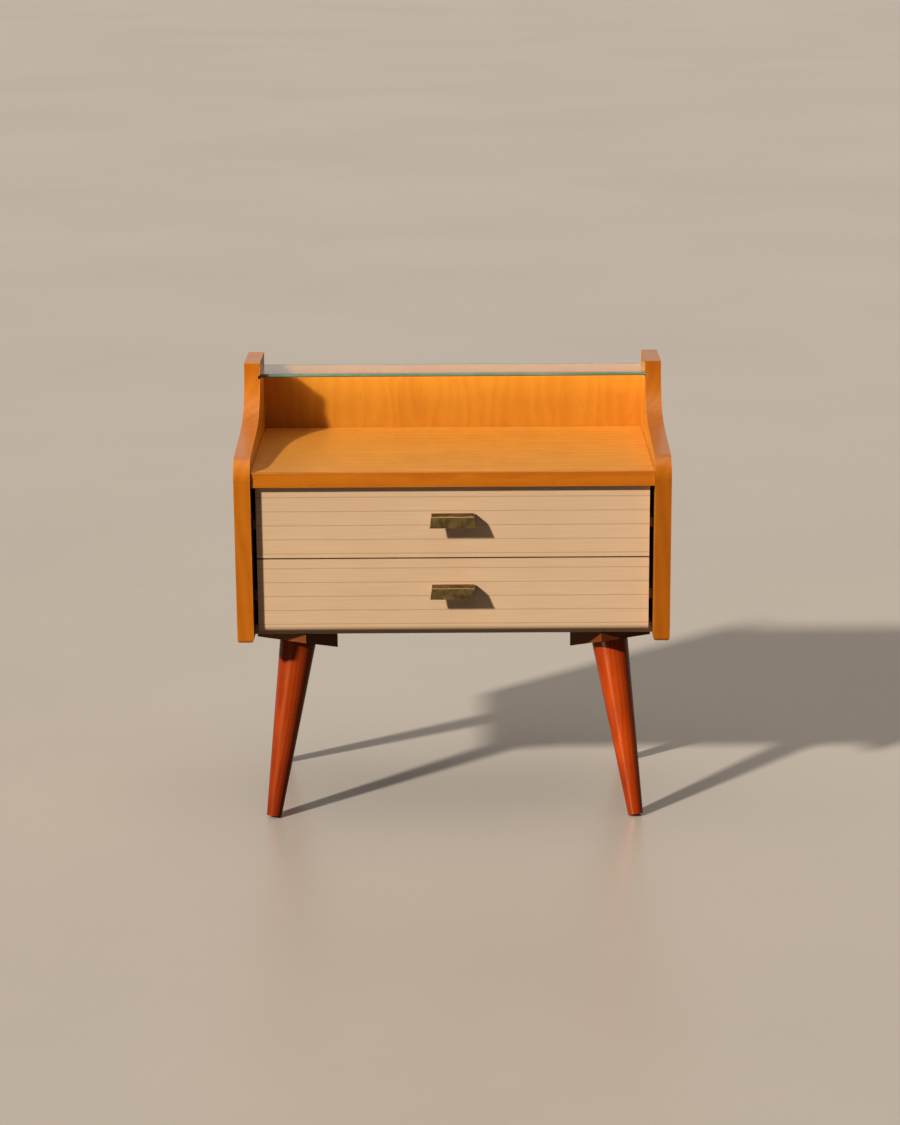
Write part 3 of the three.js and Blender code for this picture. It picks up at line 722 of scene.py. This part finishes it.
def let_light_through(tree, shader, tint):
    """Light passes straight through the glass, so that its shadow is only a faint tint."""
    shadow_ray = add(tree, "ShaderNodeLightPath").outputs["Is Shadow Ray"]
    clear = add(tree, "ShaderNodeBsdfTransparent", {"Color": (*tint, 1.0)}).outputs[0]
    mix = add(tree, "ShaderNodeMixShader", {0: shadow_ray, 1: shader.outputs[0], 2: clear})
    tree.links.new(mix.outputs[0], tree.nodes["Material Output"].inputs["Surface"])


@once
def clear_glass():
    """Clear float glass with a faint green tint and a few finger marks."""
    look = settings().glass
    surface = {
        "Transmission_Weight": 1.0,
        "IOR": 1.5,
        "Base_Color": (*look.face, 1.0),
    }
    material, tree, shader, place = new_material("clear_glass", **surface)
    marks = placed(tree, handling(), {"Place": place, "Dust": 0.0})
    rough = calc(tree, "MULTIPLY", window(tree, marks["Smudge"], 0.5, 0.9), 0.05)
    tree.links.new(rough, shader.inputs["Roughness"])
    let_light_through(tree, shader, look.shadow)
    return material


@once
def glass_edge():
    """The ground edges, where the green of the glass gathers, with a painted shade along the lower
    arris.
    """
    look = settings().glass
    surface = {"IOR": 1.5, "Transmission_Weight": 0.35}
    material, tree, shader, place = new_material("glass_edge", **surface)
    ground = even_noise(tree, place, 900.0, detail=3.0)
    clouds = even_noise(tree, place, 30.0, detail=2.0)
    pale = tuple(min(1.0, part * 1.35) for part in look.edge)
    base = blended(tree, window(tree, clouds, 0.3, 0.7), look.edge, pale)
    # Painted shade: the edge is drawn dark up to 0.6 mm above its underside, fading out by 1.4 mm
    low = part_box("glass_shelf")[0].z
    height = add(tree, "ShaderNodeSeparateXYZ", {0: place}).outputs[2]
    under = calc(tree, "SUBTRACT", 1.0, window(tree, height, low + 0.0006, low + 0.0014))
    base = blended(tree, under, base, look.under)
    tree.links.new(base, shader.inputs["Base Color"])
    rough = calc(tree, "MULTIPLY_ADD", ground, 0.2, look.roughness - 0.1)
    tree.links.new(rough, shader.inputs["Roughness"])
    bumped(tree, shader, ground, GLASS_RELIEF, 0.5)
    let_light_through(tree, shader, look.shadow)
    return material


@once
def pale_floor():
    """A plain pale floor with a soft sheen, which throws back only a share of its light."""
    look = settings().stage
    material, tree, shader, place = new_material("pale_floor", IOR=1.45)
    clouds = even_noise(tree, place, 0.8, detail=5.0, roughness=0.6)
    fine = even_noise(tree, place, 60.0, detail=3.0)
    deeper = tuple(part * 0.93 for part in look.floor)
    base = blended(tree, window(tree, clouds, 0.3, 0.7), look.floor, deeper)
    thrown = tuple(part * look.bounce for part in look.floor)
    seen = add(tree, "ShaderNodeLightPath").outputs["Is Camera Ray"]
    base = blended(tree, seen, thrown, base)
    tree.links.new(base, shader.inputs["Base Color"])
    rough = calc(tree, "MULTIPLY_ADD", fine, 0.1, 0.28)
    tree.links.new(rough, shader.inputs["Roughness"])
    return material


# ---- Mesh helpers --------------------------------------------------------------------------


def seed(name):
    """A shift of the grain that is the same for a name each time."""
    total = sum((index + 1) * ord(letter) for index, letter in enumerate(name))
    return Vector((total % 97, total % 61, total % 43)) * 0.137


def arrises_of(bm):
    return [
        edge for edge in bm.edges if edge.is_manifold and edge.calc_face_angle() > ARRIS_ANGLE
    ]


def cleaned(bm):
    """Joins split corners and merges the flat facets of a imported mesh."""
    bmesh.ops.remove_doubles(bm, verts=bm.verts, dist=WELD)
    bmesh.ops.dissolve_limit(bm, angle_limit=FLAT_ANGLE, verts=bm.verts, edges=bm.edges)


def rounded(bm, radius, segments=3):
    """Rounds every arris."""
    bmesh.ops.bevel(
        bm,
        geom=arrises_of(bm),
        offset=radius,
        offset_type="OFFSET",
        segments=segments,
        profile=0.5,
        affect="EDGES",
        clamp_overlap=True,
    )


def write_grain(mesh, along, across, origin):
    """Stores each point's place in the timber: along the grain, across it and through it."""
    along = along.normalized()
    through = along.cross(across).normalized()
    across = through.cross(along)
    turn = Matrix((along, across, through))
    attribute = mesh.attributes.new("grain", "FLOAT_VECTOR", "POINT")
    for vertex, item in zip(mesh.vertices, attribute.data):
        item.vector = turn @ vertex.co - origin


def darken(mesh, depth):
    """Stores how much darker the wood of one piece is than the rest."""
    attribute = mesh.attributes.new("darker", "FLOAT", "POINT")
    for item in attribute.data:
        item.value = depth


def piece(name, bm, body, materials, grain, stands_for):
    """Turns a finished bmesh into a piece that rides on its body."""
    mesh = bpy.data.meshes.new(name)
    bmesh.ops.recalc_face_normals(bm, faces=bm.faces)
    bm.to_mesh(mesh)
    bm.free()
    mesh.shade_smooth()
    write_grain(mesh, *grain)
    for material in materials:
        mesh.materials.append(material)
    made = bpy.data.objects.new(name, mesh)
    bpy.context.scene.collection.objects.link(made)
    weighted = made.modifiers.new("even_faces", "WEIGHTED_NORMAL")
    weighted.mode = "FACE_AREA"
    weighted.keep_sharp = True
    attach(made, body)
    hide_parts(*stands_for)
    return made


def crafted(node, body, material, grain, radius, segments=3, origin=None, shaping=None):
    """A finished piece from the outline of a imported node, with its arrises rounded."""
    bm = bmesh.new()
    bm.from_mesh(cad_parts[node].data)
    cleaned(bm)
    if shaping:
        shaping(bm)
    rounded(bm, radius, segments)
    datum = seed(node) if origin is None else origin
    return piece(
        f"{node}_made", bm, body, [material], (*grain, datum), [node]
    )


# ---- Operators -----------------------------------------------------------------------------


class NIGHTSTAND_OT_stage(Operator):
    """Lay the floor and set up the lights and the camera"""

    bl_idname = "nightstand.stage"
    bl_label = "Stage"

    def execute(self, context):
        look = settings().stage
        self.floor()
        self.room(context, look)
        self.key(context, look)
        self.camera(context, look)
        context.scene.view_settings.view_transform = "Standard"
        return {"FINISHED"}

    def floor(self):
        bm = bmesh.new()
        bmesh.ops.create_circle(bm, cap_ends=True, segments=96, radius=FLOOR_RADIUS)
        mesh = bpy.data.meshes.new("floor")
        bm.to_mesh(mesh)
        bm.free()
        mesh.materials.append(pale_floor())
        floor = bpy.data.objects.new("floor", mesh)
        bpy.context.scene.collection.objects.link(floor)

    def room(self, context, look):
        """A dim room with a glow overhead and a pale wall behind, which diffuse light misses."""
        world = bpy.data.worlds.new("room")
        world.use_nodes = True
        tree = world.node_tree
        place = add(tree, "ShaderNodeTexCoord").outputs["Generated"]
        parts = add(tree, "ShaderNodeSeparateXYZ", {0: place}).outputs
        behind = window(tree, parts[1], 0.15, 0.75)
        height = calc(tree, "ABSOLUTE", parts[2])
        low = calc(tree, "SUBTRACT", 1.0, window(tree, height, 0.35, 0.9))
        diffuse = add(tree, "ShaderNodeLightPath").outputs["Is Diffuse Ray"]
        direct = calc(tree, "SUBTRACT", 1.0, diffuse)
        wall = calc(tree, "MULTIPLY", calc(tree, "MULTIPLY", behind, low), direct)
        colour_here = blended(tree, wall, look.fill_colour, look.wall_colour)
        strength = calc(tree, "MULTIPLY_ADD", wall, look.wall - look.fill, look.fill)
        above = window(tree, parts[2], 0.68, 1.0)
        strength = calc(tree, "MULTIPLY_ADD", above, look.ceiling, strength)
        background = tree.nodes["Background"]
        tree.links.new(colour_here, background.inputs["Color"])
        tree.links.new(strength, background.inputs["Strength"])
        context.scene.world = world

    def key(self, context, look):
        light = bpy.data.lights.new("key", "SUN")
        light.energy = look.key
        light.color = look.key_colour
        light.angle = KEY_SOFTNESS
        key = bpy.data.objects.new("key", light)
        level = math.cos(KEY_ELEVATION)
        towards = Vector(
            (
                -math.sin(KEY_AZIMUTH) * level,
                -math.cos(KEY_AZIMUTH) * level,
                math.sin(KEY_ELEVATION),
            )
        )
        key.rotation_euler = towards.to_track_quat("Z", "Y").to_euler()
        key.location = towards * KEY_DISTANCE
        context.scene.collection.objects.link(key)

    def camera(self, context, look):
        data = bpy.data.cameras.new("camera")
        data.lens = look.lens
        data.sensor_fit = "HORIZONTAL"
        data.sensor_width = SENSOR_WIDTH
        data.clip_end = CLIP_END
        camera = bpy.data.objects.new("camera", data)
        level = math.cos(look.pitch)
        forward = Vector(
            (math.sin(look.yaw) * level, math.cos(look.yaw) * level, -math.sin(look.pitch))
        )
        flat = Vector((math.cos(look.yaw), -math.sin(look.yaw), 0.0))
        head = flat.cross(forward)
        right = flat * math.cos(look.roll) + head * math.sin(look.roll)
        up = head * math.cos(look.roll) - flat * math.sin(look.roll)
        turn = Matrix((right, up, -forward)).transposed()
        camera.matrix_world = Matrix.Translation(look.camera) @ turn.to_4x4()
        context.scene.collection.objects.link(camera)
        context.scene.camera = camera


class NIGHTSTAND_OT_side_panels(Operator):
    """Make the two curved side panels"""

    bl_idname = "nightstand.side_panels"
    bl_label = "Side panels"

    def execute(self, context):
        # The right panel's darkening is painted shade
        for side, depth in (("left", 0.0), ("right", settings().piece_darkening.side)):
            node = f"side_panel_{side}"
            made = crafted(
                node,
                "carcass",
                timber("honey"),
                (Z, Y),
                settings().arrises.carcass,
                4,
                shaping=lambda bm, node=node: self.round_lower_edges(bm, node),
            )
            made.data.materials.append(timber("amber"))
            for polygon in made.data.polygons:
                polygon.material_index = 0 if abs(polygon.normal.x) > FACING else 1
            darken(made.data, depth)
        return {"FINISHED"}

    def round_lower_edges(self, bm, node):
        """Rounds the two long lower edges of a panel, over a height equal to the radius."""
        low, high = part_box(node)
        radius = settings().arrises.lower
        for step in range(1, LOWER_EDGE_STEPS + 1):
            rise = radius * (1.0 - math.cos(math.pi / 2 * step / LOWER_EDGE_STEPS))
            geometry = [*bm.verts, *bm.edges, *bm.faces]
            plane = Vector((0.0, 0.0, low.z + rise))
            bmesh.ops.bisect_plane(bm, geom=geometry, plane_co=plane, plane_no=Z, dist=WELD)
        for vertex in bm.verts:
            rise = vertex.co.z - low.z
            if rise > radius:
                continue
            inset = radius - math.sqrt(max(0.0, radius**2 - (radius - rise) ** 2))
            for face_x, inward in ((low.x, 1.0), (high.x, -1.0)):
                if abs(vertex.co.x - face_x) < ON_FACE:
                    vertex.co.x += inward * inset


class NIGHTSTAND_OT_shelf(Operator):
    """Make the shelf board and the lipping on its front edge"""

    bl_idname = "nightstand.shelf"
    bl_label = "Shelf"

    def execute(self, context):
        radius = settings().arrises.shelf
        for node, finish in (("shelf_board", "honey"), ("shelf_lipping", "amber")):
            crafted(node, "carcass", timber(finish), (X, Y), radius)
        return {"FINISHED"}


class NIGHTSTAND_OT_back_and_bottom(Operator):
    """Make the back panel and the bottom board"""

    bl_idname = "nightstand.back_and_bottom"
    bl_label = "Back and bottom"

    def execute(self, context):
        radius = settings().arrises.board
        back = crafted("back_panel", "carcass", timber("honey"), (Z, X), radius)
        darken(back.data, settings().piece_darkening.back)
        crafted("bottom_board", "carcass", timber("plain"), (X, Y), radius, 2)
        return {"FINISHED"}


class NIGHTSTAND_OT_glass(Operator):
    """Make the glass shelf with its ground edges"""

    bl_idname = "nightstand.glass"
    bl_label = "Glass shelf"

    def execute(self, context):
        bm = bmesh.new()
        bm.from_mesh(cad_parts["glass_shelf"].data)
        cleaned(bm)
        rounded(bm, settings().arrises.glass, 2)
        for face in bm.faces:
            face.material_index = 0 if abs(face.normal.z) > FACING else 1
        materials = [clear_glass(), glass_edge()]
        grain = (X, Y, Vector((0, 0, 0)))
        piece("glass_shelf_made", bm, "glass", materials, grain, ["glass_shelf"])
        return {"FINISHED"}


class NIGHTSTAND_OT_drawer_fronts(Operator):
    """Make the laminate facings of the drawers"""

    bl_idname = "nightstand.drawer_fronts"
    bl_label = "Drawer fronts"

    def execute(self, context):
        look = settings().laminate
        radius = settings().arrises.laminate
        starts = {"upper": look.upper_start, "lower": look.lower_start}
        for drawer in DRAWERS:
            node = f"{drawer}_drawer_facing"
            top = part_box(node)[1].z
            datum = Vector((0.0, starts[drawer] - top, 0.0))
            crafted(
                node,
                f"{drawer}_drawer",
                cream_laminate(),
                (X, -Z),
                radius,
                2,
                datum,
            )
        return {"FINISHED"}


class NIGHTSTAND_OT_drawer_boxes(Operator):
    """Make the cores and boxes behind the drawer facings"""

    bl_idname = "nightstand.drawer_boxes"
    bl_label = "Drawer boxes"

    def execute(self, context):
        radius = settings().arrises.board
        wood = timber("plain")
        for drawer in DRAWERS:
            body = f"{drawer}_drawer"
            for part, grain in (
                ("front", (X, Z)),
                ("side_left", (Y, Z)),
                ("side_right", (Y, Z)),
                ("back", (X, Z)),
                ("bottom", (X, Y)),
            ):
                crafted(f"{body}_{part}", body, wood, grain, radius, 2)
        return {"FINISHED"}


class NIGHTSTAND_OT_runners(Operator):
    """Make the runner strips"""

    bl_idname = "nightstand.runners"
    bl_label = "Runners"

    def execute(self, context):
        radius = settings().arrises.board
        for drawer in DRAWERS:
            for side in SIDES:
                node = f"runner_{drawer}_{side}"
                crafted(node, "carcass", timber("plain"), (Y, Z), radius, 2)
        return {"FINISHED"}


class NIGHTSTAND_OT_handles(Operator):
    """Make the brass handles and their screws"""

    bl_idname = "nightstand.handles"
    bl_label = "Handles"

    def execute(self, context):
        arrises = settings().arrises
        for drawer in DRAWERS:
            body = f"{drawer}_drawer"
            node = f"{drawer}_handle"
            crafted(node, body, aged_brass(), (X, Z), arrises.metal, 2)
            for side in SIDES:
                node = f"{drawer}_handle_screw_{side}"
                crafted(node, body, screw_steel(), (Y, Z), arrises.screw, 1)
        return {"FINISHED"}


class NIGHTSTAND_OT_legs(Operator):
    """Make the turned legs"""

    bl_idname = "nightstand.legs"
    bl_label = "Legs"

    def execute(self, context):
        radius = settings().arrises.leg
        for corner in CORNERS:
            node = f"leg_{corner}"
            along = self.axis(node)
            across = along.cross(X)
            grain = (along, across)
            made = crafted(node, "carcass", timber("red"), grain, radius)
            if corner.endswith("left"):
                darken(made.data, settings().piece_darkening.legs)
        return {"FINISHED"}

    def axis(self, node):
        """The direction from the middle of the top of a leg to the middle of its foot."""
        points = [vertex.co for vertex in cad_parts[node].data.vertices]
        low = min(point.z for point in points)
        high = max(point.z for point in points)
        near = (high - low) * LEG_END
        foot = [point for point in points if point.z < low + near]
        top = [point for point in points if point.z > high - near]
        foot_middle = sum(foot, Vector()) / len(foot)
        top_middle = sum(top, Vector()) / len(top)
        return foot_middle - top_middle


class NIGHTSTAND_OT_leg_blocks(Operator):
    """Make the wedge blocks that carry the legs, and their screws"""

    bl_idname = "nightstand.leg_blocks"
    bl_label = "Leg blocks"

    def execute(self, context):
        arrises = settings().arrises
        for corner in CORNERS:
            node = f"leg_block_{corner}"
            crafted(node, "carcass", timber("dark"), (X, Y), arrises.board, 2)
            for side in SIDES:
                node = f"block_screw_{corner}_{side}"
                crafted(node, "carcass", screw_steel(), (Z, X), arrises.screw, 1)
        return {"FINISHED"}


class NIGHTSTAND_PT_sidebar(Panel):
    """Lists the settings and the makers"""

    bl_idname = "NIGHTSTAND_PT_sidebar"
    bl_label = "Nightstand"
    bl_space_type = "VIEW_3D"
    bl_region_type = "UI"
    bl_category = "Nightstand"

    def draw(self, context):
        layout = self.layout
        for maker in MAKERS:
            layout.operator(maker.bl_idname)
        for label, group in settings().bl_rna.properties.items():
            if group.type != "POINTER" or label == "rna_type":
                continue
            box = layout.box()
            box.label(text=group.name)
            values = getattr(settings(), label)
            for name in values.__annotations__:
                box.prop(values, name)


GROUPS = (
    HoneyWood,
    AmberWood,
    PlainWood,
    RedWood,
    DarkWood,
    Laminate,
    Metals,
    Glass,
    Arrises,
    PieceDarkening,
    StageSettings,
    NightstandSettings,
)
MAKERS = (
    NIGHTSTAND_OT_stage,
    NIGHTSTAND_OT_side_panels,
    NIGHTSTAND_OT_shelf,
    NIGHTSTAND_OT_back_and_bottom,
    NIGHTSTAND_OT_glass,
    NIGHTSTAND_OT_drawer_fronts,
    NIGHTSTAND_OT_drawer_boxes,
    NIGHTSTAND_OT_runners,
    NIGHTSTAND_OT_handles,
    NIGHTSTAND_OT_leg_blocks,
    NIGHTSTAND_OT_legs,
)
CLASSES = (*GROUPS, *MAKERS, NIGHTSTAND_PT_sidebar)


def register():
    for cls in CLASSES:
        bpy.utils.register_class(cls)
    bpy.types.Scene.nightstand = PointerProperty(type=NightstandSettings)


def unregister():
    del bpy.types.Scene.nightstand
    for cls in reversed(CLASSES):
        bpy.utils.unregister_class(cls)


def main():
    register()
    for maker in MAKERS:
        group, name = maker.bl_idname.split(".")
        getattr(getattr(bpy.ops, group), name)()


if __name__ == "__main__":
    main()
